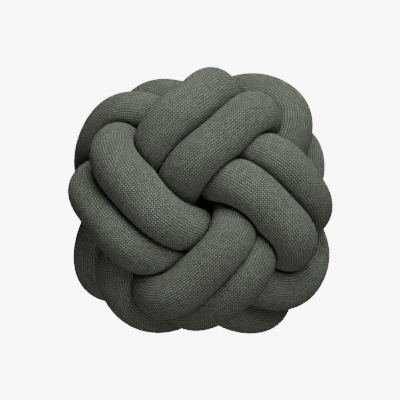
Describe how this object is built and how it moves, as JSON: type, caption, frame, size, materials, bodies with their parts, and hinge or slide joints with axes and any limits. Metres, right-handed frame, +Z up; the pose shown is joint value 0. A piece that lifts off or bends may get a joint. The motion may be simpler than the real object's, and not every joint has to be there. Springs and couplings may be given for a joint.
{
  "type": "knot cushion",
  "caption": "Round floor or sofa cushion: an endless stuffed tube of knitted cloth tied into a ball-shaped knot with a woven face.",
  "frame": {"origin": "on the surface that the cushion lies on, below the middle of its box", "axes": "+Z up, out of the face that the picture looks at; +Y towards the top of that face and +X towards its right"},
  "size_m": [0.3008, 0.3034, 0.1806],
  "materials": {
    "knit": "matte dark grey-green melange, fine plain knit"
  },
  "bodies": {
    "root": {"knotted_tube": "knit"}
  },
  "joints": []
}
